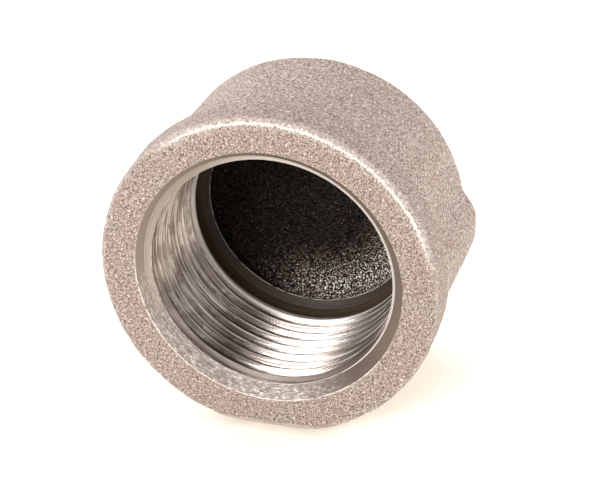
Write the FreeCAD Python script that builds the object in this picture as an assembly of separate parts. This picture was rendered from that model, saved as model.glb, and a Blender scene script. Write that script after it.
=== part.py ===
"""Cast-iron pipe cap, 1-1/4 NPT, female thread.

Row frame, millimetres: the cap lies on its side. Its axis is +Y, from the mouth face at Y = 0
towards the closed end, and +Z is up. The origin is the centre of the mouth face.

The cap is modelled standing on its mouth, with depth along +Z, and is laid down at the end.
Angles round the axis run from +X (the right-hand side) towards the underside.
"""

import FreeCAD, Part
import math
import os

# ---- driving dimensions -------------------------------------------------

NODE = "cap_body"

# outside of the casting
BAND_RADIUS = 26.6          # reinforcing band round the mouth
BAND_WIDTH = 7.0
BAND_FRONT_ROUND = 0.8      # outer edge of the mouth face
BAND_REAR_ROUND = 1.1
BODY_FRONT_RADIUS = 24.8    # just behind the band
BODY_BACK_RADIUS = 23.6     # at the closed end, after the moulding draft
BODY_ROOT_ROUND = 0.6       # hollow corner between band and body
BACK_EDGE_DEPTH = 31.2      # where the flat side ends and the crown starts
BACK_EDGE_ROUND = 1.8
HEIGHT = 33.2               # mouth face to the top of the crown

# two lugs along the body, opposite each other
LUG_ANGLES = (0.0, 180.0)   # degrees round the axis, on the right and on the left
LUG_RADIUS = 26.55
LUG_HALF_WIDTH = 9.75       # degrees, measured half way up its flank
LUG_FOOT = 16.0             # degrees, where the flank has died into the body
LUG_ROUND_START = 24.6      # depth where its top starts to round over
LUG_END = 28.5              # depth where the lug has died into the body

# ground-off casting gate: a flat on the underside of the band, and a 45 degree one across its edge
GATE_ANGLE = 90.0
GATE_FLAT = 26.35           # distance of the flat from the axis
GATE_CHORD = 25.0           # distance of the slanted flat from the axis, on the mouth face

# American standard taper pipe thread, 1-1/4 nominal, 11.5 threads per inch, right hand
PITCH = 25.4 / 11.5
TAPER = 1.0 / 32.0          # change of radius with depth, which is 1:16 on diameter
CREST_RADIUS = 19.08        # inner crests, carried out to the mouth face
CREST_FLAT = 0.20
ROOT_FLAT = 0.15
FLANK_ANGLE = 30.0          # degrees, each side of a 60 degree thread
THREAD_START = 2.3          # depth where the first groove starts to cut, behind the chamfer
RUN_IN_TURNS = 0.45
THREAD_END = 21.75          # depth where the last groove starts to run out
RUN_OUT_TURNS = 0.5

# bore, from the mouth inwards
CHAMFER_RADIUS = 20.99      # on the mouth face: the thread's largest diameter
CHAMFER_BREAK_RADIUS = 19.80    # where the chamfer gives way to a slightly gentler cone
CHAMFER_BREAK_DEPTH = 1.10
CHAMFER_DEPTH = 1.9
RELIEF_START = 23.4         # plain bore past the last thread
RELIEF_END = 25.1
SHOULDER_RADIUS = 17.1      # inner edge of the machined shoulder
SHOULDER_DEPTH = 25.9
FLOOR_DEPTH = 28.8          # bottom of the rough cast recess
FLOOR_ROUND = 2.2
SLEEVE_RADIUS = 22.3        # outside of the ring of metal that the thread is cut in

# the cap is modelled turned by this much, so that the seams of its round surfaces miss the lugs
SEAM_OFFSET = 8.0


# ---- helpers ------------------------------------------------------------

def polar(radius, degrees, depth=0.0):
    """A point at a radius and an angle round the axis."""
    angle = math.radians(degrees)
    return FreeCAD.Vector(radius * math.cos(angle), radius * math.sin(angle), depth)


def arc(start, middle, end):
    return Part.Arc(start, middle, end).toShape()


def rounded_profile(corners):
    """A closed wire in the XZ plane from (radius, depth, rounding) corners."""
    points = [FreeCAD.Vector(r, 0, z) for r, z, _ in corners]
    edges = []
    entries = []
    exits = []
    middles = []
    count = len(corners)
    for i, (_, _, rounding) in enumerate(corners):
        here = points[i]
        back = (points[i - 1] - here).normalize()
        ahead = (points[(i + 1) % count] - here).normalize()
        half = back.getAngle(ahead) / 2
        setback = rounding / math.tan(half)
        inwards = (back + ahead).normalize() if rounding else FreeCAD.Vector()
        entries.append(here + back * setback)
        exits.append(here + ahead * setback)
        middles.append(here + inwards * (rounding / math.sin(half) - rounding))
    for i, (_, _, rounding) in enumerate(corners):
        if rounding:
            edges.append(arc(entries[i], middles[i], exits[i]))
        following = entries[(i + 1) % count]
        if (following - exits[i]).Length > 1e-6:
            edges.append(Part.makeLine(exits[i], following))
    return Part.Wire(edges)


def revolve(corners):
    face = Part.Face(rounded_profile(corners))
    return face.revolve(FreeCAD.Vector(), FreeCAD.Vector(0, 0, 1), 360)


# ---- outside ------------------------------------------------------------

def band():
    return revolve([
        (0, 0, 0),
        (BAND_RADIUS, 0, BAND_FRONT_ROUND),
        (BAND_RADIUS, BAND_WIDTH, BAND_REAR_ROUND),
        (BODY_FRONT_RADIUS - 1, BAND_WIDTH, 0),
        (0, BAND_WIDTH, 0),
    ])


def lug_outline(radius, angle, depth):
    """Edges of one lug in cross-section: hollow foot, rounded top, hollow foot."""
    half_height = (radius + LUG_RADIUS) / 2
    foot_height = radius + (half_height - radius) * 0.25
    foot_middle = (LUG_HALF_WIDTH + LUG_FOOT) / 2

    def at(height, offset):
        return polar(height, angle + offset, depth)

    return [
        arc(at(radius, -LUG_FOOT), at(foot_height, -foot_middle), at(half_height, -LUG_HALF_WIDTH)),
        arc(at(half_height, -LUG_HALF_WIDTH), at(LUG_RADIUS, 0), at(half_height, LUG_HALF_WIDTH)),
        arc(at(half_height, LUG_HALF_WIDTH), at(foot_height, foot_middle), at(radius, LUG_FOOT)),
    ]


def body_radius(depth):
    """The body tapers towards the closed end, so that it drew out of the mould."""
    draft = (BODY_FRONT_RADIUS - BODY_BACK_RADIUS) / (BACK_EDGE_DEPTH - BAND_WIDTH)
    return BODY_FRONT_RADIUS - draft * (depth - BAND_WIDTH)


def body_section(depth):
    """Cross-section of the body with its lugs, at one depth."""
    radius = body_radius(depth)
    edges = []
    angles = [angle + SEAM_OFFSET for angle in LUG_ANGLES]
    for i, angle in enumerate(angles):
        edges += lug_outline(radius, angle, depth)
        start = angle + LUG_FOOT
        end = angles[(i + 1) % len(angles)] - LUG_FOOT
        sweep = (end - start) % 360
        edges.append(arc(polar(radius, start, depth), polar(radius, start + sweep / 2, depth),
                         polar(radius, start + sweep, depth)))
    return Part.Wire(edges)


def back_limit():
    """Revolved envelope that rounds off the lugs and gives the body its crown."""
    crown_edge = FreeCAD.Vector(BODY_BACK_RADIUS - BACK_EDGE_ROUND, 0, BACK_EDGE_DEPTH)
    crown_top = FreeCAD.Vector(0, 0, HEIGHT)
    crown_radius = (crown_edge.x ** 2 + (HEIGHT - BACK_EDGE_DEPTH) ** 2) / (2 * (HEIGHT - BACK_EDGE_DEPTH))
    half_way = crown_edge.x / 2
    crown_middle = FreeCAD.Vector(
        half_way, 0, HEIGHT - crown_radius + math.sqrt(crown_radius ** 2 - half_way ** 2))

    outside = LUG_RADIUS + 1
    corner = FreeCAD.Vector(BODY_BACK_RADIUS, 0, BACK_EDGE_DEPTH - BACK_EDGE_ROUND)
    corner_middle = corner + FreeCAD.Vector(
        BACK_EDGE_ROUND * (math.cos(math.pi / 4) - 1), 0, BACK_EDGE_ROUND * math.sin(math.pi / 4))
    lug_start = FreeCAD.Vector(LUG_RADIUS, 0, LUG_ROUND_START)
    lug_end = FreeCAD.Vector(BODY_BACK_RADIUS + 0.1, 0, LUG_END)
    lug_middle = FreeCAD.Vector(
        lug_end.x + (lug_start.x - lug_end.x) * math.cos(math.pi / 4), 0,
        lug_start.z + (lug_end.z - lug_start.z) * math.sin(math.pi / 4))

    points = [FreeCAD.Vector(0, 0, 0), FreeCAD.Vector(outside, 0, 0),
              FreeCAD.Vector(outside, 0, LUG_ROUND_START), lug_start]
    edges = [Part.makeLine(a, b) for a, b in zip(points, points[1:])]
    edges.append(arc(lug_start, lug_middle, lug_end))
    edges.append(Part.makeLine(lug_end, corner))
    edges.append(arc(corner, corner_middle, crown_edge))
    edges.append(arc(crown_edge, crown_middle, crown_top))
    edges.append(Part.makeLine(crown_top, points[0]))
    face = Part.Face(Part.Wire(edges))
    return face.revolve(FreeCAD.Vector(), FreeCAD.Vector(0, 0, 1), 360)


def body():
    sections = [body_section(BAND_WIDTH / 2), body_section(HEIGHT + 1)]
    return Part.makeLoft(sections, True, True).common(back_limit())


def root_fillet_ring():
    """Small hollow ring that softens the corner between the band and the body."""
    size = BODY_ROOT_ROUND
    r = body_radius(BAND_WIDTH + size) - 0.02
    z = BAND_WIDTH - 0.02
    centre = FreeCAD.Vector(r + size, 0, z + size)
    start = FreeCAD.Vector(r + size, 0, z)
    end = FreeCAD.Vector(r, 0, z + size)
    middle = centre - FreeCAD.Vector(size, 0, size) * math.sqrt(0.5)
    inside = FreeCAD.Vector(r - size, 0, z - size)
    edges = [arc(start, middle, end), Part.makeLine(end, inside), Part.makeLine(inside, start)]
    face = Part.Face(Part.Wire(edges))
    return face.revolve(FreeCAD.Vector(), FreeCAD.Vector(0, 0, 1), 360)


def gate_cutter(distance, slant):
    """Block whose near face is a flat at that distance from the axis, slanted by that angle."""
    size = 2 * BAND_RADIUS
    block = Part.makeBox(size, size, size, FreeCAD.Vector(0, -size / 2, -size / 2))
    block.rotate(FreeCAD.Vector(), FreeCAD.Vector(0, 1, 0), slant)
    block.translate(FreeCAD.Vector(distance, 0, 0))
    block.rotate(FreeCAD.Vector(), FreeCAD.Vector(0, 0, 1), GATE_ANGLE + SEAM_OFFSET)
    return block


# ---- inside -------------------------------------------------------------

def crest_radius(depth):
    return CREST_RADIUS - TAPER * depth


def bore_cutter():
    """Everything the bore removes, apart from the chamfer and the thread in the sleeve."""
    relief = crest_radius(RELIEF_START)
    return revolve([
        (0, -1, 0),
        (SLEEVE_RADIUS, -1, 0),
        (SLEEVE_RADIUS, RELIEF_START, 0),
        (relief, RELIEF_START, 0),
        (relief, RELIEF_END, 0),
        (SHOULDER_RADIUS, SHOULDER_DEPTH, 0),
        (SHOULDER_RADIUS - 0.3, FLOOR_DEPTH, FLOOR_ROUND),
        (0, FLOOR_DEPTH, 0),
    ])


def thread_groove():
    """The V groove of the thread, swept along a tapered right-hand helix that fades at both ends."""
    slope = math.tan(math.radians(FLANK_ANGLE))
    depth = (PITCH - CREST_FLAT - ROOT_FLAT) / 2 / slope
    overlap = 0.1
    mouth_width = PITCH - CREST_FLAT + 2 * overlap * slope
    first = THREAD_START / PITCH
    last = THREAD_END / PITCH + RUN_OUT_TURNS
    steps_per_turn = 24

    def groove_point(turn, height=0.0, offset=0.0):
        z = PITCH * turn
        run_in = max(0.0, 1 - (turn - first) / RUN_IN_TURNS)
        run_out = max(0.0, 1 - (last - turn) / RUN_OUT_TURNS)
        lift = (depth + overlap) * (run_in ** 2 + run_out ** 2)
        return polar(crest_radius(z) + height - lift, 360 * turn, z + offset)

    steps = round((last - first) * steps_per_turn)
    helix = Part.BSplineCurve()
    helix.interpolate([groove_point(first + (last - first) * i / steps) for i in range(steps + 1)])
    section = [groove_point(first, -overlap, -mouth_width / 2), groove_point(first, depth, -ROOT_FLAT / 2),
               groove_point(first, depth, ROOT_FLAT / 2), groove_point(first, -overlap, mouth_width / 2)]
    sweep = Part.BRepOffsetAPI.MakePipeShell(Part.Wire(helix.toShape()))
    sweep.setBiNormalMode(FreeCAD.Vector(0, 0, 1))
    sweep.add(Part.makePolygon(section + section[:1]))
    sweep.build()
    sweep.makeSolid()
    return sweep.shape()


def threaded_sleeve():
    """The ring of metal that carries the thread; it is fused back into the casting."""
    margin = 1.0
    crests = Part.makeCone(crest_radius(-margin), crest_radius(RELIEF_START + margin),
                           RELIEF_START + 2 * margin, FreeCAD.Vector(0, 0, -margin))
    slope = (CHAMFER_RADIUS - CHAMFER_BREAK_RADIUS) / CHAMFER_BREAK_DEPTH
    lead_in = ((CHAMFER_BREAK_RADIUS - crest_radius(CHAMFER_DEPTH))
               / (CHAMFER_DEPTH - CHAMFER_BREAK_DEPTH))
    chamfer = revolve([
        (0, -margin, 0),
        (CHAMFER_RADIUS + slope * margin, -margin, 0),
        (CHAMFER_BREAK_RADIUS, CHAMFER_BREAK_DEPTH, 0),
        (CHAMFER_BREAK_RADIUS - lead_in * (CHAMFER_DEPTH + margin - CHAMFER_BREAK_DEPTH),
         CHAMFER_DEPTH + margin, 0),
        (0, CHAMFER_DEPTH + margin, 0),
    ])
    ring = Part.makeCylinder(SLEEVE_RADIUS, RELIEF_START)
    return ring.cut(crests).cut(thread_groove()).cut(chamfer)


# ---- the cap ------------------------------------------------------------

def cap():
    casting = body().fuse([band(), root_fillet_ring()]).removeSplitter().cut(bore_cutter())
    solid = casting.Solids[0].fuse(threaded_sleeve().Solids[0]).removeSplitter()
    solid = solid.cut(gate_cutter(GATE_FLAT, 0)).cut(gate_cutter(GATE_CHORD, 45)).Solids[0]
    solid.rotate(FreeCAD.Vector(), FreeCAD.Vector(0, 0, 1), -SEAM_OFFSET)
    solid.rotate(FreeCAD.Vector(), FreeCAD.Vector(1, 0, 0), -90)
    return solid


def main():
    os.makedirs("parts", exist_ok=True)
    solid = cap()
    solid.exportStep("parts/" + NODE + ".step")
    print(NODE, "valid", solid.isValid(), "volume", round(solid.Volume), "faces", len(solid.Faces))


main()
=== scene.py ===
"""Cast-iron pipe cap: the finished look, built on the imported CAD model.

Everything is in the row frame: the cap's axis is +Y from the mouth face at Y = 0, and +Z is up.
The mesh is worked out in millimetres and scaled to metres at the end. Angles round the axis run
from +X (the right-hand side) towards the underside.
"""

import math

import bmesh
import bpy
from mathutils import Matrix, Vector, noise


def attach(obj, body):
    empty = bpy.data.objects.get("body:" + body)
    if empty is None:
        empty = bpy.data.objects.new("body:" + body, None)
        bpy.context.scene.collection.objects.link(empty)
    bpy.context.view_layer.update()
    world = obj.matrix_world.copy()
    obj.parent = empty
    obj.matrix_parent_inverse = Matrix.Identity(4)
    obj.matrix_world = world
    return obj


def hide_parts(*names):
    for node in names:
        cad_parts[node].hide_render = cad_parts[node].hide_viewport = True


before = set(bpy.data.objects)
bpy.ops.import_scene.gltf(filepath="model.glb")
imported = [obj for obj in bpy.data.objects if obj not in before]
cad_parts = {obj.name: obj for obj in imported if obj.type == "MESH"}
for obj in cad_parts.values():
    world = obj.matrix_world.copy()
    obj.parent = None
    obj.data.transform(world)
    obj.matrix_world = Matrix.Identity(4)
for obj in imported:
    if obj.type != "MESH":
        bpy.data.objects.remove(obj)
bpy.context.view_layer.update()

MM = 0.001

# ---- dimensions of the cap, in millimetres ------------------------------------------------------

BAND_RADIUS = 26.6
BAND_WIDTH = 7.0
BAND_FRONT_ROUND = 0.8
BAND_REAR_ROUND = 1.1
BODY_FRONT_RADIUS = 24.8
BODY_BACK_RADIUS = 23.6
BODY_ROOT_ROUND = 0.6
BACK_EDGE_DEPTH = 31.2
BACK_EDGE_ROUND = 1.8
HEIGHT = 33.2

LUG_ANGLES = (0.0, 180.0)
LUG_RADIUS = 26.55
LUG_HALF_WIDTH = 9.75
LUG_FOOT = 16.0
LUG_ROUND_START = 24.6
LUG_END = 28.5

GATE_FLAT = 26.35
GATE_CHORD = 25.0

PITCH = 25.4 / 11.5
TAPER = 1.0 / 32.0
CREST_RADIUS = 19.08
CREST_FLAT = 0.20
ROOT_FLAT = 0.15
FLANK_ANGLE = 30.0
THREAD_START_ANGLE = -8.0
THREAD_END = 21.75
RUN_OUT_TURNS = 0.5
RUN_IN_START = 2.3          # depth of the groove's middle where the first turn starts to cut
RUN_IN_LENGTH = 1.0

CHAMFER_RADIUS = 20.99
CHAMFER_BREAK_RADIUS = 19.80    # where the chamfer gives way to a slightly gentler cone
CHAMFER_BREAK_DEPTH = 1.10
CHAMFER_DEPTH = 1.9
RELIEF_START = 23.4
RELIEF_END = 25.1
SHOULDER_RADIUS = 17.1
SHOULDER_DEPTH = 25.9
FLOOR_DEPTH = 28.8
FLOOR_ROUND = 2.2

# ---- mesh density -------------------------------------------------------------------------------

OUTSIDE_STEPS = 432         # vertices round the outside
BORE_STEPS = 288            # vertices round the thread
SKIN_ROW = 0.42             # millimetres between rows of the cast skin
DISC_RING = 0.62            # and between the rings of the crown and of the bore's floor
SHARP_ANGLE = 38            # degrees between faces past which an edge isn't shaded smooth

# ---- roughness of the cast skin, in millimetres -------------------------------------------------

LUMP_SIZE = 1.25
LUMP_HEIGHT = 0.055
SWELL_SIZE = 6.0
SWELL_HEIGHT = 0.10
NICK_SIZE = 1.6
NICK_DEPTH = 0.16
NICK_LEVEL = 0.30           # noise level above which the rim has lost a flake

EDGE_BAND = 1.2             # width of the strips where nicks set in and the roughness starts
RECESS_LUMP = 0.13          # height of the lumps in the unmachined bottom of the bore
RECESS_LUMP_SIZE = 0.9
FACE_STAND_OUT = 0.02       # how far the mouth face may stand proud

# ---- where the marks are, in degrees clockwise from the top, or millimetres of depth ------------

WEAR_HIGHLIGHT_ANGLE = 18.0               # the rim is worn bright, with a painted highlight along its top
SCRATCH_ANGLE = 205.0           # the chamfer is scratched
CHAMFER_PAINTED_LIGHT_ANGLE = 275.0     # the chamfer is painted lighter here, as if more light fell on it
CLEAN_ANGLE = 165.0             # the thread has no stains
RECESS_PAINTED_LIGHT_ANGLE = 140.0             # the recess has painted light and glints on its grains
FIRST_LAND = (4.4, 3.4)         # the first turns' duller lands fade in towards the mouth
SCRATCH_FADE = (3.4, 2.6)       # and the scratches
LAST_CREST_HIGHLIGHT = (21.0, 21.5)       # the last crest's painted highlight fades in
PAST_THREAD = (22.2, 22.35)     # and the dark oily band past the thread
RING_MIDDLE_DEPTH = 1.22        # where the bright ring round the chamfer starts, on average
RING_SHIFT = (0.20, -0.45)      # and how much deeper that is at the right and at the top
RING_LINE = 0.22                # its dark line, so far into the ring

SKIN, MACHINED, RELIEF, RECESS, GROUND = range(5)


# ---- small helpers ------------------------------------------------------------------------------

def smoothstep(t):
    t = min(max(t, 0.0), 1.0)
    return t * t * (3 - 2 * t)


def spread(start, end, step):
    """Evenly spaced values from start to end, both included, no further apart than step."""
    count = max(1, math.ceil(abs(end - start) / step))
    return [start + (end - start) * i / count for i in range(count + 1)]


def quarter(count):
    """Angles of a quarter turn in count steps, in radians, both ends included."""
    return [math.pi / 2 * i / count for i in range(count + 1)]


# ---- the mesh under construction ----------------------------------------------------------------

class Casting:
    """Rings of vertices round the axis, stitched into one closed surface."""

    def __init__(self):
        self.bm = bmesh.new()
        self.zone = self.bm.verts.layers.int.new("zone")
        self.groove = self.bm.verts.layers.float.new("groove")
        self.ground = self.bm.verts.layers.float.new("ground")

    def vertex(self, radius, angle, depth, zone, groove=0.0):
        v = self.bm.verts.new((radius * math.cos(angle), depth, -radius * math.sin(angle)))
        v[self.zone] = zone
        v[self.groove] = groove
        return v

    def ring(self, count, place, zone):
        """place(angle) gives the radius and the depth of the ring there."""
        made = []
        for i in range(count):
            angle = 2 * math.pi * i / count
            radius, depth = place(angle)
            made.append(self.vertex(radius, angle, depth, zone))
        return made

    def face(self, verts, material):
        if len(set(verts)) >= 3:
            self.bm.faces.new(verts).material_index = material

    def stitch(self, a, b, material):
        """Joins two rings. b may have as many vertices as a, or half or twice as many."""
        if len(a) == len(b):
            for i in range(len(a)):
                j = (i + 1) % len(a)
                self.face((a[i], a[j], b[j], b[i]), material)
            return
        fine, coarse = (a, b) if len(a) > len(b) else (b, a)
        i = j = 0
        while i < len(fine) or j < len(coarse):
            here, there = fine[i % len(fine)], coarse[j % len(coarse)]
            if j == len(coarse) or i < len(fine) and (i + 1) / len(fine) <= (j + 0.5) / len(coarse):
                corners = (here, fine[(i + 1) % len(fine)], there)
                i += 1
            else:
                corners = (here, coarse[(j + 1) % len(coarse)], there)
                j += 1
            self.face(corners, material)

    def chain(self, rings, material):
        for a, b in zip(rings, rings[1:]):
            self.stitch(a, b, material)

    def disc(self, rim, radius, depth_at, zone, material):
        """Closes a ring with finer and finer rings, thinned out towards the middle."""
        count = len(rim)
        previous = rim
        for r in spread(radius, 0.0, DISC_RING)[1:-1]:
            while count > 24 and 2 * math.pi * r / count < DISC_RING / 2:
                count //= 2
            ring = self.ring(count, lambda angle, r=r: (r, depth_at(r)), zone)
            self.stitch(previous, ring, material)
            previous = ring
        centre = self.vertex(0.0, 0.0, depth_at(0.0), zone)
        for i in range(len(previous)):
            self.face((previous[i], previous[(i + 1) % len(previous)], centre), material)


# ---- outside ------------------------------------------------------------------------------------

def lug_share(angle):
    """1 on the crest of a lug, 0 on the plain body, and smooth in between."""
    degrees = math.degrees(angle)
    away = min(abs((degrees - lug + 180) % 360 - 180) for lug in LUG_ANGLES)
    crest = 2 * LUG_HALF_WIDTH - LUG_FOOT
    return smoothstep((LUG_FOOT - away) / (LUG_FOOT - crest))


def lug_length_share(depth):
    """The lug's height along its length: full, then rounded off before the closed end."""
    t = (depth - LUG_ROUND_START) / (LUG_END - LUG_ROUND_START)
    return math.sqrt(1 - min(max(t, 0.0), 1.0) ** 2)


def body_radius(angle, depth):
    draft = (BODY_FRONT_RADIUS - BODY_BACK_RADIUS) / (BACK_EDGE_DEPTH - BAND_WIDTH)
    plain = BODY_FRONT_RADIUS - draft * (depth - BAND_WIDTH)
    return plain + (LUG_RADIUS - plain) * lug_share(angle) * lug_length_share(depth)


def crown_depth(radius):
    """The closed end is slightly domed."""
    edge = BODY_BACK_RADIUS - BACK_EDGE_ROUND
    rise = HEIGHT - BACK_EDGE_DEPTH
    sphere = (edge ** 2 + rise ** 2) / (2 * rise)
    return HEIGHT - sphere + math.sqrt(sphere ** 2 - radius ** 2)


def outside_rows():
    """Functions that each give the radius and depth of one ring, from the chamfer to the crown."""
    rows = []

    def plain(radius, depth):
        rows.append(lambda angle: (radius, depth))

    def side(depth):
        rows.append(lambda angle: (body_radius(angle, depth), depth))

    def behind_band(share, bend):
        """Rings between the band's rear corner and the body: rear round, step and hollow."""
        def place(angle):
            foot = body_radius(angle, BAND_WIDTH)
            drop = BAND_RADIUS - foot
            round_over = min(BAND_REAR_ROUND, 0.6 * drop)
            hollow = min(BODY_ROOT_ROUND, 0.35 * drop)
            if share == "round":
                return (BAND_RADIUS - round_over * (1 - math.cos(bend)),
                        BAND_WIDTH - round_over * (1 - math.sin(bend)))
            return (foot + hollow * (1 - math.sin(bend)),
                    BAND_WIDTH + hollow * (1 - math.cos(bend)))
        rows.append(place)

    inner_edge = BAND_RADIUS - BAND_FRONT_ROUND
    for radius in spread(CHAMFER_RADIUS, inner_edge, SKIN_ROW):
        plain(radius, 0.0)
    for bend in quarter(4)[1:]:
        plain(inner_edge + BAND_FRONT_ROUND * math.sin(bend), BAND_FRONT_ROUND * (1 - math.cos(bend)))
    for depth in spread(BAND_FRONT_ROUND, BAND_WIDTH - BAND_REAR_ROUND, SKIN_ROW)[1:-1]:
        plain(BAND_RADIUS, depth)
    for bend in quarter(3):
        behind_band("round", bend)
    for bend in quarter(3):
        behind_band("hollow", bend)
    body_start = BAND_WIDTH + BODY_ROOT_ROUND
    for depth in spread(body_start, BACK_EDGE_DEPTH - BACK_EDGE_ROUND, SKIN_ROW)[1:]:
        side(depth)
    for bend in quarter(5)[1:]:
        plain(BODY_BACK_RADIUS - BACK_EDGE_ROUND * (1 - math.cos(bend)),
              BACK_EDGE_DEPTH - BACK_EDGE_ROUND * (1 - math.sin(bend)))
    return rows


def build_outside(casting):
    """The face, band, body and crown. Returns the ring on the chamfer's outer edge."""
    rings = [casting.ring(OUTSIDE_STEPS, row, SKIN) for row in outside_rows()]
    casting.chain(rings, SKIN)
    casting.disc(rings[-1], BODY_BACK_RADIUS - BACK_EDGE_ROUND, crown_depth, SKIN, SKIN)
    return rings[0]


def grind_gate(casting):
    """The casting gate is ground off the underside: a flat, and a slanted one across the face edge."""
    for v in casting.bm.verts:
        low = min(-v.co.z, GATE_FLAT)
        if v.co.y > BAND_WIDTH or low < GATE_CHORD:
            continue
        if low == GATE_FLAT or v.co.y <= low - GATE_CHORD:
            v[casting.zone] = GROUND
            v[casting.ground] = 1.0
        v.co.z = -low
        v.co.y = max(v.co.y, low - GATE_CHORD)


# ---- bore ---------------------------------------------------------------------------------------

def groove_depth():
    return (PITCH - CREST_FLAT - ROOT_FLAT) / 2 / math.tan(math.radians(FLANK_ANGLE))


def crest_radius(depth):
    return CREST_RADIUS - TAPER * depth


def chamfer_radius(depth):
    """The chamfer at the mouth, and the gentler lead-in cone that follows it."""
    slope = (CHAMFER_RADIUS - CHAMFER_BREAK_RADIUS) / CHAMFER_BREAK_DEPTH
    drop = CHAMFER_BREAK_RADIUS - crest_radius(CHAMFER_DEPTH)
    lead_in = drop / (CHAMFER_DEPTH - CHAMFER_BREAK_DEPTH)
    return max(CHAMFER_RADIUS - slope * depth,
               CHAMFER_BREAK_RADIUS - lead_in * (depth - CHAMFER_BREAK_DEPTH))


def groove_share(across):
    """How much of the groove's depth is cut at a distance along the axis from its middle."""
    flank = (PITCH - CREST_FLAT - ROOT_FLAT) / 2
    return min(max(1 - (abs(across) - ROOT_FLAT / 2) / flank, 0.0), 1.0)


def groove_levels():
    """Distances from the middle of a groove where the thread mesh has its rows, over one pitch."""
    flank_start = ROOT_FLAT / 2
    flank_end = (PITCH - CREST_FLAT) / 2
    flank = [flank_start + (flank_end - flank_start) * t for t in (0.0, 0.3, 0.6, 0.93, 1.03)]
    return [-x for x in reversed(flank)] + flank


def thread_radius(middle, across):
    """Radius of the threaded surface. The groove fades in behind the chamfer and out at its end."""
    turns_left = (THREAD_END - middle) / PITCH + RUN_OUT_TURNS
    fade = smoothstep(turns_left / RUN_OUT_TURNS) * smoothstep((middle - RUN_IN_START) / RUN_IN_LENGTH)
    return crest_radius(middle + across) + groove_depth() * groove_share(across) * fade


def thread_column(turn):
    """Points (depth, radius, share of the groove's depth) down the bore at one angle, in turns."""
    levels = groove_levels()
    start = THREAD_START_ANGLE / 360
    first = -PITCH * 2 + PITCH * ((turn - start) % 1.0)
    points = []
    for groove in range(int(RELIEF_START / PITCH) + 5):
        middle = first + groove * PITCH
        for across in levels:
            radius = thread_radius(middle, across)
            depth = middle + across
            points.append([depth, radius, (radius - crest_radius(depth)) / groove_depth()])
    return points


def fit_to_chamfer(points):
    """Cuts the thread off with the chamfer, and puts a point right on the edge between the two."""
    gaps = [radius - chamfer_radius(depth) for depth, radius, _ in points]
    placed = [list(p) for p in points]
    for i in range(len(points) - 1):
        if (gaps[i] < 0) != (gaps[i + 1] < 0):
            t = gaps[i] / (gaps[i] - gaps[i + 1])
            crossing = [a + t * (b - a) for a, b in zip(points[i], points[i + 1])]
            placed[i if t < 0.5 else i + 1] = crossing
    for p in placed:
        p[0] = min(max(p[0], 0.0), RELIEF_START)
        if p[0] == RELIEF_START:
            p[1:] = crest_radius(RELIEF_START), 0.0
        elif p[0] == 0.0:
            p[1:] = CHAMFER_RADIUS, 0.0
        elif p[1] <= chamfer_radius(p[0]):
            p[1:] = chamfer_radius(p[0]), 0.0
    return placed


def build_thread(casting):
    """The thread and the chamfer, on rows that follow the helix. Returns the two end rings."""
    columns = []
    for i in range(BORE_STEPS):
        angle = 2 * math.pi * i / BORE_STEPS
        points = fit_to_chamfer(thread_column(i / BORE_STEPS))
        column = []
        for k, (depth, radius, groove) in enumerate(points):
            clipped = column and depth in (0.0, RELIEF_START) and points[k - 1][0] == depth
            column.append(column[-1] if clipped else
                          casting.vertex(radius, angle, depth, MACHINED, groove))
        columns.append(column)
    rows_a_turn = len(groove_levels())
    seam = math.floor(BORE_STEPS * (1 + THREAD_START_ANGLE / 360))
    for i in range(BORE_STEPS):
        a, b = columns[i], columns[(i + 1) % BORE_STEPS]
        shift = rows_a_turn if i == seam else 0
        for k in range(len(a) - 1):
            m = min(k + shift, len(b) - 1)
            n = min(k + 1 + shift, len(b) - 1)
            corners = []
            for v in (a[k], b[m], b[n], a[k + 1]):
                if v not in corners:
                    corners.append(v)
            casting.face(corners, MACHINED)
    return [c[0] for c in columns], [c[-1] for c in columns]


def build_bottom(casting, rim):
    """Past the thread: plain relief, machined shoulder, and the rough recess of the casting."""
    relief = crest_radius(RELIEF_START)
    rings = [rim]

    def add(radius, depth, zone):
        rings.append(casting.ring(BORE_STEPS, lambda angle: (radius, depth), zone))

    for depth in spread(RELIEF_START, RELIEF_END, 0.6)[1:]:
        add(relief, depth, RELIEF)
    for share in spread(0.0, 1.0, 0.34)[1:]:
        add(relief + (SHOULDER_RADIUS - relief) * share,
            RELIEF_END + (SHOULDER_DEPTH - RELIEF_END) * share, RELIEF)
    casting.chain(rings, RELIEF)
    rings = rings[-1:]
    add(SHOULDER_RADIUS, (SHOULDER_DEPTH + FLOOR_DEPTH - FLOOR_ROUND) / 2, RECESS)
    for bend in quarter(6):
        add(SHOULDER_RADIUS - FLOOR_ROUND * (1 - math.cos(bend)),
            FLOOR_DEPTH - FLOOR_ROUND * (1 - math.sin(bend)), RECESS)
    casting.chain(rings, RECESS)
    casting.disc(rings[-1], SHOULDER_RADIUS - FLOOR_ROUND, lambda r: FLOOR_DEPTH, RECESS, RECESS)


# ---- cast surface -------------------------------------------------------------------------------

def skin_height(p):
    """Unevenness of the cast skin at a point: a slow swell and coarse lumps."""
    swell = noise.noise(p / SWELL_SIZE) * SWELL_HEIGHT
    lumps = (noise.noise(p / LUMP_SIZE) + 0.5 * noise.noise(p / LUMP_SIZE * 2.1)) * LUMP_HEIGHT
    return swell + lumps


def rim_nick(p):
    """Depth of the flakes knocked off the sharp edges round the mouth face."""
    chip = noise.noise(p / NICK_SIZE + Vector((3.1, 7.7, 1.9))) - NICK_LEVEL
    return NICK_DEPTH * max(chip, 0.0) / (1 - NICK_LEVEL) * 3


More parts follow.
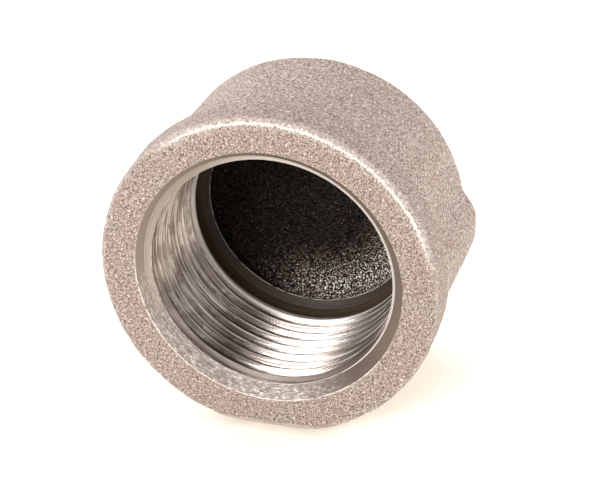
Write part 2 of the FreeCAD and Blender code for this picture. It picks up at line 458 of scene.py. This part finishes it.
def roughen(bm, zone):
    bm.normal_update()
    moves = []
    for v in bm.verts:
        if v[zone] in (MACHINED, RELIEF, GROUND):
            continue
        p = v.co
        height = skin_height(p)
        if v[zone] == RECESS:
            height += noise.noise(p / RECESS_LUMP_SIZE + Vector((0.5, 0.2, 0.7))) * RECESS_LUMP
        radius = math.hypot(p.x, p.z)
        if v[zone] == SKIN and p.y < BAND_WIDTH:
            outer = max(0.0, 1 - math.hypot(radius - BAND_RADIUS, p.y) / EDGE_BAND)
            height -= rim_nick(p) * outer
            if p.y < 0.1:
                height *= smoothstep((radius - CHAMFER_RADIUS) / EDGE_BAND)
                height = min(height, FACE_STAND_OUT)
        moves.append((v, v.normal * height))
    for v, move in moves:
        v.co += move


def build_cap():
    casting = Casting()
    mouth = build_outside(casting)
    thread_mouth, thread_end = build_thread(casting)
    casting.stitch(thread_mouth, mouth, MACHINED)
    build_bottom(casting, thread_end)
    bm = casting.bm
    grind_gate(casting)
    bmesh.ops.remove_doubles(bm, verts=bm.verts, dist=1e-4)
    bmesh.ops.dissolve_degenerate(bm, edges=bm.edges, dist=1e-4)
    bmesh.ops.recalc_face_normals(bm, faces=bm.faces)
    roughen(bm, casting.zone)
    for v in bm.verts:
        v.co *= MM
    for face in bm.faces:
        face.smooth = True
    mesh = bpy.data.meshes.new("pipe_cap")
    bm.to_mesh(mesh)
    bm.free()
    mesh.set_sharp_from_angle(angle=math.radians(SHARP_ANGLE))
    cap = bpy.data.objects.new("pipe_cap", mesh)
    bpy.context.scene.collection.objects.link(cap)
    return cap


# ---- material helpers ---------------------------------------------------------------------------

class Nodes:
    """Short calls for building a shader out of nodes."""

    def __init__(self, name):
        self.material = bpy.data.materials.new(name)
        self.material.use_nodes = True
        self.tree = self.material.node_tree
        self.shader = self.tree.nodes["Principled BSDF"]
        place = self.tree.nodes.new("ShaderNodeTexCoord").outputs["Object"]
        scale = self.tree.nodes.new("ShaderNodeVectorMath")
        scale.operation = "SCALE"
        self.tree.links.new(place, scale.inputs[0])
        scale.inputs["Scale"].default_value = 1 / MM
        self.mm = scale.outputs[0]
        split = self.tree.nodes.new("ShaderNodeSeparateXYZ")
        self.tree.links.new(self.mm, split.inputs[0])
        self.x, self.depth, self.z = split.outputs
        self.radius = self.sqrt(self.add(self.mul(self.x, self.x), self.mul(self.z, self.z)))

    def put(self, socket, value):
        if isinstance(value, bpy.types.NodeSocket):
            self.tree.links.new(value, socket)
        else:
            socket.default_value = value

    def math(self, operation, *values):
        node = self.tree.nodes.new("ShaderNodeMath")
        node.operation = operation
        for socket, value in zip(node.inputs, values):
            self.put(socket, value)
        return node.outputs[0]

    def add(self, a, b):
        return self.math("ADD", a, b)

    def sub(self, a, b):
        return self.math("SUBTRACT", a, b)

    def mul(self, a, b):
        return self.math("MULTIPLY", a, b)

    def sqrt(self, a):
        return self.math("SQRT", a)

    def larger(self, a, b):
        return self.math("MAXIMUM", a, b)

    def stretch(self, factors):
        """The place in millimetres, scaled differently along X, Y and Z."""
        node = self.tree.nodes.new("ShaderNodeVectorMath")
        node.operation = "MULTIPLY"
        self.put(node.inputs[0], self.mm)
        node.inputs[1].default_value = factors
        return node.outputs[0]

    def noise(self, scale, detail=2.0, rough=0.5, where=None, warp=0.0):
        node = self.tree.nodes.new("ShaderNodeTexNoise")
        self.put(node.inputs["Vector"], where or self.mm)
        node.inputs["Scale"].default_value = scale
        node.inputs["Detail"].default_value = detail
        node.inputs["Roughness"].default_value = rough
        node.inputs["Distortion"].default_value = warp
        return node.outputs["Fac"]

    def cells(self, scale):
        """Distance to the nearest of scattered points: small at the middle of each grain."""
        node = self.tree.nodes.new("ShaderNodeTexVoronoi")
        self.put(node.inputs["Vector"], self.mm)
        node.inputs["Scale"].default_value = scale
        node.inputs["Randomness"].default_value = 1.0
        return node.outputs["Distance"]

    def span(self, value, low, high, to_low=0.0, to_high=1.0):
        node = self.tree.nodes.new("ShaderNodeMapRange")
        node.interpolation_type = "SMOOTHSTEP"
        self.put(node.inputs["Value"], value)
        node.inputs["From Min"].default_value = low
        node.inputs["From Max"].default_value = high
        node.inputs["To Min"].default_value = to_low
        node.inputs["To Max"].default_value = to_high
        return node.outputs["Result"]

    def mix(self, share, a, b):
        node = self.tree.nodes.new("ShaderNodeMix")
        node.data_type = "RGBA"
        self.put(node.inputs[0], share)
        self.put(node.inputs[6], a)
        self.put(node.inputs[7], b)
        return node.outputs[2]

    def bump(self, height, distance, strength):
        node = self.tree.nodes.new("ShaderNodeBump")
        self.put(node.inputs["Height"], height)
        node.inputs["Distance"].default_value = distance * MM
        node.inputs["Strength"].default_value = strength
        return node.outputs["Normal"]

    def attribute(self, name):
        """A value kept at the mesh's vertices."""
        node = self.tree.nodes.new("ShaderNodeAttribute")
        node.attribute_name = name
        return node.outputs["Fac"]

    def away(self, radius, depth):
        """Distance from the circle of that radius and depth."""
        across = self.sub(self.radius, radius)
        along = self.sub(self.depth, depth)
        return self.sqrt(self.add(self.mul(across, across), self.mul(along, along)))

    def near(self, radius, depth, reach):
        """1 on the circle of that radius and depth, falling to 0 at the reach round it."""
        return self.span(self.away(radius, depth), 0.0, reach, 1.0, 0.0)

    def sector(self, centre, none, full):
        """1 within so many degrees of an angle measured clockwise from the top, 0 past none."""
        a = math.radians(centre)
        towards = self.add(self.mul(self.x, math.sin(a)), self.mul(self.z, math.cos(a)))
        share = self.math("DIVIDE", towards, self.radius)
        return self.span(share, math.cos(math.radians(none)), math.cos(math.radians(full)))

    def finish(self, **inputs):
        for name, value in inputs.items():
            self.put(self.shader.inputs[name.replace("_", " ")], value)
        return self.material


def rgb(r, g, b):
    """A colour for a node from screen values of 0 to 255."""
    def linear(c):
        c /= 255
        return c / 12.92 if c <= 0.04045 else ((c + 0.055) / 1.055) ** 2.4
    return (linear(r), linear(g), linear(b), 1.0)


# ---- materials ----------------------------------------------------------------------------------

def cast_skin():
    """Sand-cast iron: pinkish grey grains with pale and dark specks, worn bright on its edges, with a
    painted highlight along the top of the rim.
    """
    n = Nodes("cast_iron_skin")
    grain = n.noise(2.5, 3.0, 0.65, warp=0.3)
    fine = n.noise(5.0, 2.0, 0.6)
    cells = n.cells(2.3)
    patch = n.noise(0.22, 3.0, 0.6)
    tint = n.noise(0.9, 2.0)
    colour = n.mix(n.span(tint, 0.35, 0.65), rgb(150, 131, 123), rgb(160, 135, 121))
    colour = n.mix(n.span(patch, 0.40, 0.75, 0.0, 0.6), colour, rgb(160, 146, 140))
    colour = n.mix(n.span(grain, 0.52, 0.34), colour, rgb(90, 74, 67))
    colour = n.mix(n.span(grain, 0.53, 0.70), colour, rgb(214, 200, 193))
    colour = n.mix(n.span(fine, 0.55, 0.71, 0.0, 0.9), colour, rgb(234, 223, 216))
    colour = n.mix(n.span(fine, 0.44, 0.28, 0.0, 0.7), colour, rgb(84, 69, 62))
    band_side = n.mul(n.span(n.depth, BAND_WIDTH - 0.4, BAND_WIDTH - 0.9),
                      n.span(n.radius, BAND_RADIUS - 0.4, BAND_RADIUS - 0.15))
    colour = n.mix(n.mul(band_side, 0.20), colour, rgb(118, 102, 95))
    hollow = n.near((BAND_RADIUS + BODY_FRONT_RADIUS) / 2 - 0.4, BAND_WIDTH + 0.2, 1.2)
    colour = n.mix(n.mul(hollow, n.span(patch, 0.35, 0.60, 0.45, 1.0)), colour, rgb(122, 90, 74))
    rear = n.mul(n.span(n.away(BAND_RADIUS - 0.3, BAND_WIDTH - 0.4), 0.50, 0.15),
                 n.span(grain, 0.38, 0.52))
    colour = n.mix(n.mul(rear, n.span(patch, 0.35, 0.60, 0.25, 0.75)), colour, rgb(232, 222, 216))
    ground = n.attribute("ground")
    colour = n.mix(n.mul(ground, 0.75), colour, rgb(190, 177, 169))
    rim = n.near(BAND_RADIUS - 0.25, 0.25, 0.65)
    colour = n.mix(n.mul(rim, 0.25), colour, rgb(212, 202, 196))
    # Painted highlight: the worn rim and its flecks are bright only along the top, where the light
    # falls.
    side = n.sector(WEAR_HIGHLIGHT_ANGLE, 66, 46)
    ragged = n.mul(n.sub(n.noise(2.0, 4.0, 0.75), 0.5), 1.9)
    wear_and_highlight = n.mul(n.span(n.add(n.away(BAND_RADIUS - 0.85, 0.0), ragged), 0.36, 0.14), side)
    fleck = n.mul(n.span(n.noise(3.0, 3.0, 0.7), 0.50, 0.58),
                  n.span(n.away(BAND_RADIUS - 0.9, 0.1), 1.4, 0.4))
    wear_and_highlight = n.larger(wear_and_highlight, n.mul(n.mul(fleck, side), 0.55))
    colour = n.mix(wear_and_highlight, colour, rgb(226, 218, 212))
    lip = n.mul(n.near(CHAMFER_RADIUS, 0.0, 0.30), n.span(n.noise(1.3, 3.0), 0.36, 0.50))
    lip = n.mul(lip, n.sector(SCRATCH_ANGLE - 10, 90, 60))
    colour = n.mix(lip, colour, rgb(236, 228, 222))
    height = n.add(n.add(grain, n.mul(fine, 0.35)), n.mul(cells, -0.5))
    height = n.mul(height, n.sub(1.0, n.mul(ground, 0.7)))
    rough = n.sub(n.span(grain, 0.3, 0.7, 0.72, 0.48), n.mul(wear_and_highlight, 0.22))
    return n.finish(Base_Color=colour, Roughness=rough, Metallic=n.mul(wear_and_highlight, 0.6),
                    Normal=n.bump(height, 0.26, 0.9))


def machined_iron():
    """Turned iron: bright, with fine tool lines round the axis, brown stains and scratches, painted
    highlights on the crests, painted shade and dirt in the roots, and painted light and shade on the
    chamfer and the first lands.
    """
    n = Nodes("machined_iron")
    lines = n.noise(1.0, 3.0, 0.65, n.stretch((0.09, 7.0, 0.09)))
    fine = n.noise(1.0, 2.0, 0.6, n.stretch((0.22, 24.0, 0.22)))
    stain = n.noise(0.24, 3.0, 0.6, warp=0.6)
    speck = n.noise(3.2, 3.0, 0.7)
    groove = n.attribute("groove")
    colour = n.mix(n.span(lines, 0.34, 0.66), rgb(96, 84, 77), rgb(184, 173, 167))
    clean = n.sub(1.0, n.sector(CLEAN_ANGLE, 45, 20))
    colour = n.mix(n.mul(n.span(stain, 0.46, 0.60, 0.0, 0.6), clean), colour, rgb(88, 72, 63))
    colour = n.mix(n.mul(n.span(speck, 0.60, 0.80), clean), colour, rgb(66, 54, 48))
    # Painted shade, with dirt: the thread's roots are darkened.
    colour = n.mix(n.span(groove, 0.70, 1.0, 0.0, 0.85), colour, rgb(40, 32, 27))
    # Painted highlight: bright lines on the crests and on the last crest.
    crest = n.mul(n.span(groove, 0.13, 0.02), n.span(lines, 0.42, 0.58, 0.25, 1.0))
    last_crest_highlight = n.mul(n.span(groove, 0.5, 0.1), n.span(n.depth, *LAST_CREST_HIGHLIGHT))
    crest = n.larger(crest, last_crest_highlight)
    colour = n.mix(crest, colour, rgb(222, 211, 204))
    # Painted light: the first lands are lighter at the lower left, where they lie in shade.
    land = n.mul(n.span(groove, 0.55, 0.15), n.span(n.depth, *FIRST_LAND))
    land_colour_with_painted_light = n.mix(n.sector(SCRATCH_ANGLE, 70, 30), rgb(138, 122, 112), rgb(188, 172, 162))
    colour = n.mix(land, colour, land_colour_with_painted_light)
    past = n.span(n.depth, *PAST_THREAD)
    colour = n.mix(past, colour, rgb(84, 69, 55))
    # Painted light and shade: the chamfer is lighter on its left side and darker elsewhere.
    chamfer = n.span(n.depth, CHAMFER_DEPTH + 0.02, CHAMFER_DEPTH - 0.02)
    chamfer_light_and_shade = n.mix(n.sector(CHAMFER_PAINTED_LIGHT_ANGLE, 100, 40), rgb(114, 99, 89), rgb(136, 121, 111))
    colour = n.mix(chamfer, colour, chamfer_light_and_shade)
    right = n.math("DIVIDE", n.x, n.radius)
    up = n.math("DIVIDE", n.z, n.radius)
    shift = n.add(n.mul(right, RING_SHIFT[0]), n.mul(up, RING_SHIFT[1]))
    ring_start = n.add(shift, RING_MIDDLE_DEPTH)
    into_ring = n.sub(n.depth, ring_start)
    ring = n.mul(n.span(n.depth, CHAMFER_DEPTH + 0.12, CHAMFER_DEPTH), n.span(into_ring, -0.03, 0.03))
    off_line = n.math("ABSOLUTE", n.sub(into_ring, RING_LINE))
    ring = n.mul(ring, n.span(off_line, 0.02, 0.10, 0.35, 1.0))
    ring_colour = n.mix(n.sector(CHAMFER_PAINTED_LIGHT_ANGLE, 90, 40), rgb(236, 227, 220), rgb(180, 165, 155))
    colour = n.mix(ring, colour, ring_colour)
    burr = n.mul(n.near(crest_radius(CHAMFER_DEPTH), CHAMFER_DEPTH, 0.17),
                 n.span(n.noise(0.8, 3.0), 0.40, 0.55))
    colour = n.mix(burr, colour, rgb(236, 228, 222))
    scored = n.mul(n.sector(SCRATCH_ANGLE, 68, 25), n.span(n.depth, *SCRATCH_FADE))
    colour = n.mix(n.mul(scored, n.span(stain, 0.30, 0.50, 0.4, 0.8)), colour, rgb(176, 159, 151))
    scratch = n.span(n.noise(1.0, 4.0, 0.75, n.stretch((1.1, 7.0, 1.1))), 0.50, 0.60)
    colour = n.mix(n.mul(scratch, scored), colour, rgb(240, 232, 227))
    mark = n.span(n.noise(1.0, 4.0, 0.75, n.stretch((1.3, 9.0, 1.3))), 0.46, 0.36)
    colour = n.mix(n.mul(mark, scored), colour, rgb(92, 76, 68))
    soft = n.larger(n.larger(crest, ring), n.larger(land, past))
    rough = n.add(n.span(lines, 0.3, 0.7, 0.28, 0.17), n.mul(n.larger(scored, soft), 0.15))
    height = n.add(lines, n.mul(fine, 0.6))
    return n.finish(Base_Color=colour, Roughness=rough, Metallic=n.sub(1.0, n.mul(soft, 0.65)),
                    Normal=n.bump(height, 0.02, 0.8))


def relief_iron():
    """The plain end of the bore and its shoulder: smooth, oily and dark brown, with painted shade
    darkening the shoulder.
    """
    n = Nodes("oiled_iron")
    lines = n.noise(1.0, 3.0, 0.6, n.stretch((0.15, 5.0, 0.15)))
    speck = n.noise(3.0, 3.0, 0.7)
    colour = n.mix(n.span(lines, 0.3, 0.7), rgb(78, 63, 50), rgb(104, 86, 68))
    # Painted shade: the shoulder is darker than the relief.
    shoulder_shade = n.span(n.depth, RELIEF_END - 0.1, RELIEF_END + 0.1)
    colour = n.mix(shoulder_shade, colour, rgb(58, 45, 35))
    colour = n.mix(n.span(speck, 0.60, 0.75, 0.0, 0.7), colour, rgb(130, 114, 98))
    edge = n.mul(n.near(SHOULDER_RADIUS, SHOULDER_DEPTH, 0.16), n.span(n.noise(0.8, 3.0), 0.35, 0.55))
    colour = n.mix(edge, colour, rgb(206, 194, 180))
    return n.finish(Base_Color=colour, Roughness=n.span(lines, 0.3, 0.7, 0.62, 0.45),
                    Specular_IOR_Level=0.25, Normal=n.bump(n.add(lines, speck), 0.03, 0.6))


def recess_skin():
    """The casting's inside bottom: dark and rough, with painted light and glints on its grains towards
    the lower right.
    """
    n = Nodes("cast_iron_recess")
    grain = n.noise(2.2, 3.0, 0.6, warp=0.2)
    cells = n.cells(2.4)
    spark = n.noise(3.4, 2.0, 0.6)
    # Painted light: the grains are lighter and glint towards the lower right, where light falls into
    # the bore.
    lit = n.mul(n.sector(RECESS_PAINTED_LIGHT_ANGLE, 85, 20), n.span(n.radius, 7.0, 16.0))
    painted_lit_grain_colour = n.mix(lit, rgb(44, 33, 26), rgb(120, 100, 84))
    colour = n.mix(n.span(grain, 0.42, 0.64), rgb(4, 2, 1), painted_lit_grain_colour)
    painted_glint_colour = n.mix(lit, rgb(120, 102, 86), rgb(255, 250, 238))
    spark_share = n.span(n.add(spark, n.mul(lit, 0.10)), 0.64, 0.69)
    colour = n.mix(spark_share, colour, painted_glint_colour)
    return n.finish(Base_Color=colour, Specular_IOR_Level=0.2, Roughness=0.5,
                    Normal=n.bump(n.sub(grain, n.mul(cells, 0.7)), 0.42, 1.0))


def floor_paint():
    n = Nodes("studio_floor")
    return n.finish(Base_Color=(0.92, 0.89, 0.83, 1.0), Roughness=0.9, Specular_IOR_Level=0.1,
                    Emission_Color=(1.0, 0.87, 0.66, 1.0), Emission_Strength=0.20)


# ---- stage --------------------------------------------------------------------------------------

CAMERA_AZIMUTH = 15.74
CAMERA_ELEVATION = 27.68
CAMERA_DISTANCE = 0.4376
CAMERA_AIM = Vector((0.0040, 0.0040, 0.0052))
CAMERA_LENS = 174.0
SENSOR_WIDTH = 36.0
FLOOR_SIZE = 0.8            # metres from the middle of the floor to its edge
AMBIENT = 0.26              # strength of the world as a light
BACKDROP = 1.3              # and as the camera sees it


def direction(azimuth, elevation):
    """Unit vector from the cap towards something at that azimuth and elevation, in degrees."""
    a, e = math.radians(azimuth), math.radians(elevation)
    return Vector((math.sin(a) * math.cos(e), -math.cos(a) * math.cos(e), math.sin(e)))


def aim(thing, at):
    thing.rotation_euler = (at - thing.location).to_track_quat("-Z", "Y").to_euler()


def make_camera():
    data = bpy.data.cameras.new("camera")
    data.lens, data.sensor_width = CAMERA_LENS, SENSOR_WIDTH
    data.clip_start, data.clip_end = 0.01, 10.0
    camera = bpy.data.objects.new("camera", data)
    camera.location = CAMERA_AIM + direction(CAMERA_AZIMUTH, CAMERA_ELEVATION) * CAMERA_DISTANCE
    aim(camera, CAMERA_AIM)
    bpy.context.scene.collection.objects.link(camera)
    bpy.context.scene.camera = camera


def make_light(name, azimuth, elevation, distance, width, height, power):
    data = bpy.data.lights.new(name, "AREA")
    data.shape, data.size, data.size_y = "RECTANGLE", width, height
    data.energy = power
    light = bpy.data.objects.new(name, data)
    light.location = direction(azimuth, elevation) * distance
    aim(light, Vector())
    bpy.context.scene.collection.objects.link(light)


def support_height(cap, tilt):
    """How far below the axis the cap's front part and its back part reach, once tilted."""
    front, back = -1.0, -1.0
    for v in cap.data.vertices:
        reach = -v.co.z * math.cos(tilt) + v.co.y * math.sin(tilt)
        if v.co.y < 12 * MM:
            front = max(front, reach)
        elif v.co.y > 24 * MM:
            back = max(back, reach)
    return front, back


def make_floor(cap):
    """The cap lies on its band and its back edge, and its axis keeps to Y, so the floor tilts."""
    low, high = 0.0, math.radians(15)
    for _ in range(24):
        tilt = (low + high) / 2
        front, back = support_height(cap, tilt)
        low, high = (tilt, high) if front > back else (low, tilt)
    reach = support_height(cap, tilt)[0]
    bm = bmesh.new()
    bmesh.ops.create_grid(bm, x_segments=8, y_segments=8, size=FLOOR_SIZE)
    mesh = bpy.data.meshes.new("studio_floor")
    bm.to_mesh(mesh)
    bm.free()
    floor = bpy.data.objects.new("studio_floor", mesh)
    floor.location = Vector((0.0, math.sin(tilt), -math.cos(tilt))) * reach
    floor.rotation_euler = (tilt, 0.0, 0.0)
    mesh.materials.append(floor_paint())
    bpy.context.scene.collection.objects.link(floor)


def make_world():
    """A dim even light all round, behind a plain white background."""
    world = bpy.data.worlds.new("studio")
    world.use_nodes = True
    tree = world.node_tree
    background = tree.nodes["Background"]
    background.inputs["Color"].default_value = (1.0, 0.97, 0.92, 1.0)
    seen = tree.nodes.new("ShaderNodeLightPath").outputs["Is Camera Ray"]
    strength = tree.nodes.new("ShaderNodeMapRange")
    tree.links.new(seen, strength.inputs["Value"])
    strength.inputs["To Min"].default_value = AMBIENT
    strength.inputs["To Max"].default_value = BACKDROP
    tree.links.new(strength.outputs["Result"], background.inputs["Strength"])
    bpy.context.scene.world = world
    bpy.context.scene.view_settings.view_transform = "Standard"


# ---- the scene ----------------------------------------------------------------------------------

make_camera()
make_world()

cap = build_cap()
for material in (cast_skin(), machined_iron(), relief_iron(), recess_skin()):
    cap.data.materials.append(material)
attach(cap, "root")
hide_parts("cap_body")

make_floor(cap)
make_light("key_front_left", -22, 21, 0.9, 0.40, 0.35, 7.2)
make_light("fill_front_right", 34, 13, 1.0, 0.5, 0.5, 0.7)
make_light("top", 10, 80, 1.0, 0.9, 0.9, 3.2)
make_light("right_back", 110, 32, 1.0, 0.7, 0.6, 9.5)
make_light("left_back", -120, 32, 1.0, 0.7, 0.6, 8.5)
